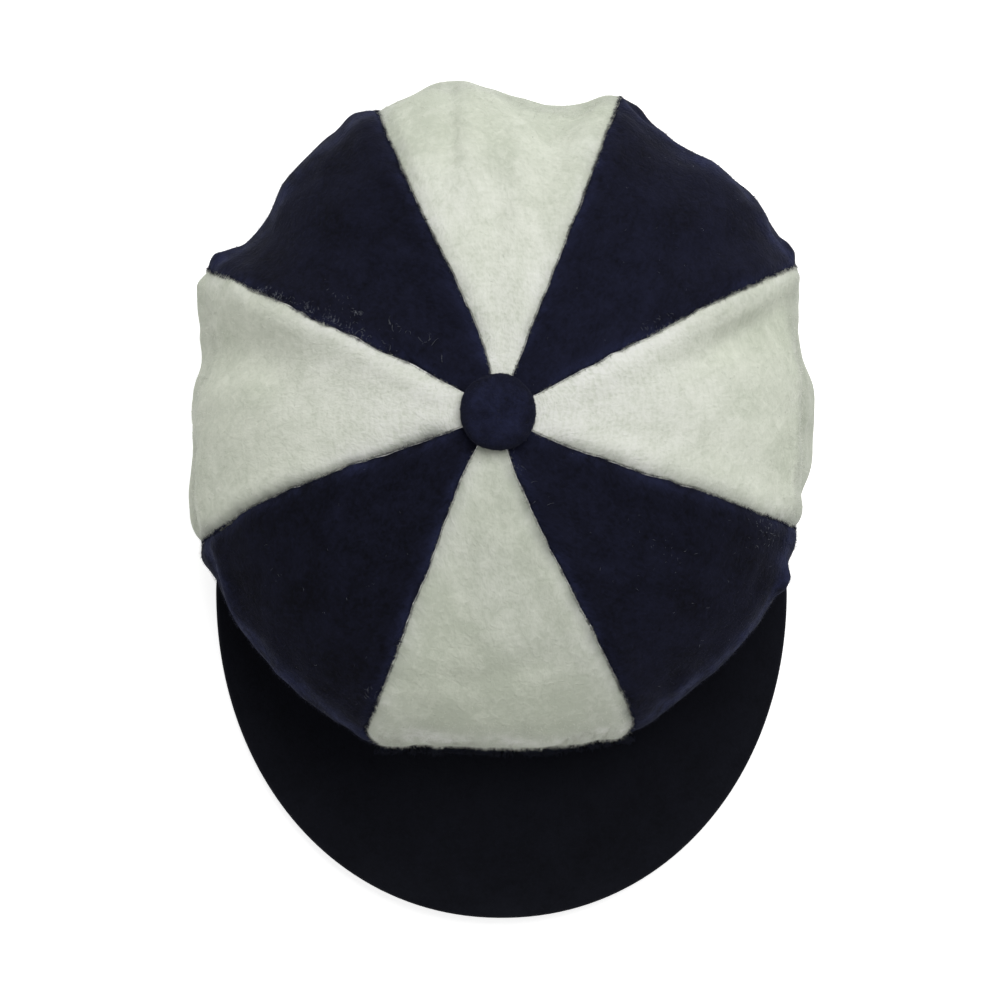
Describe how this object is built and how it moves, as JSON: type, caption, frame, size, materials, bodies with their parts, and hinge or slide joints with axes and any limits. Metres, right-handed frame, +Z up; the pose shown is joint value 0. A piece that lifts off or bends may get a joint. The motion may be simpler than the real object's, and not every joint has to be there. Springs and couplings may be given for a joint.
{
  "type": "cricket cap",
  "caption": "Soft wool cricket cap lying on its rim: wide crown of alternating cream and navy panels, covered button on top, short covered peak.",
  "frame": {"origin": "middle of the cap's outline seen from above, on the surface that it lies on", "axes": "+Z up through the crown, -Y towards the tip of the peak, +X to the right of a view from above with the peak at the bottom"},
  "size_m": [0.2004, 0.2698, 0.1007],
  "materials": {
    "cream_wool": "cream wool flannel with a short soft nap",
    "navy_wool": "dark navy wool flannel with a short soft nap and pale lint",
    "peak_wool": "near-black navy wool stretched smooth over the peak"
  },
  "bodies": {
    "root": {"crown_panel_front": "cream_wool", "crown_panel_front_right": "navy_wool", "crown_panel_right": "cream_wool", "crown_panel_back_right": "navy_wool", "crown_panel_back": "cream_wool", "crown_panel_back_left": "navy_wool", "crown_panel_left": "cream_wool", "crown_panel_front_left": "navy_wool", "crown_button": "navy_wool", "peak_top_cover": "peak_wool", "peak_under_cover": "peak_wool"}
  },
  "joints": []
}
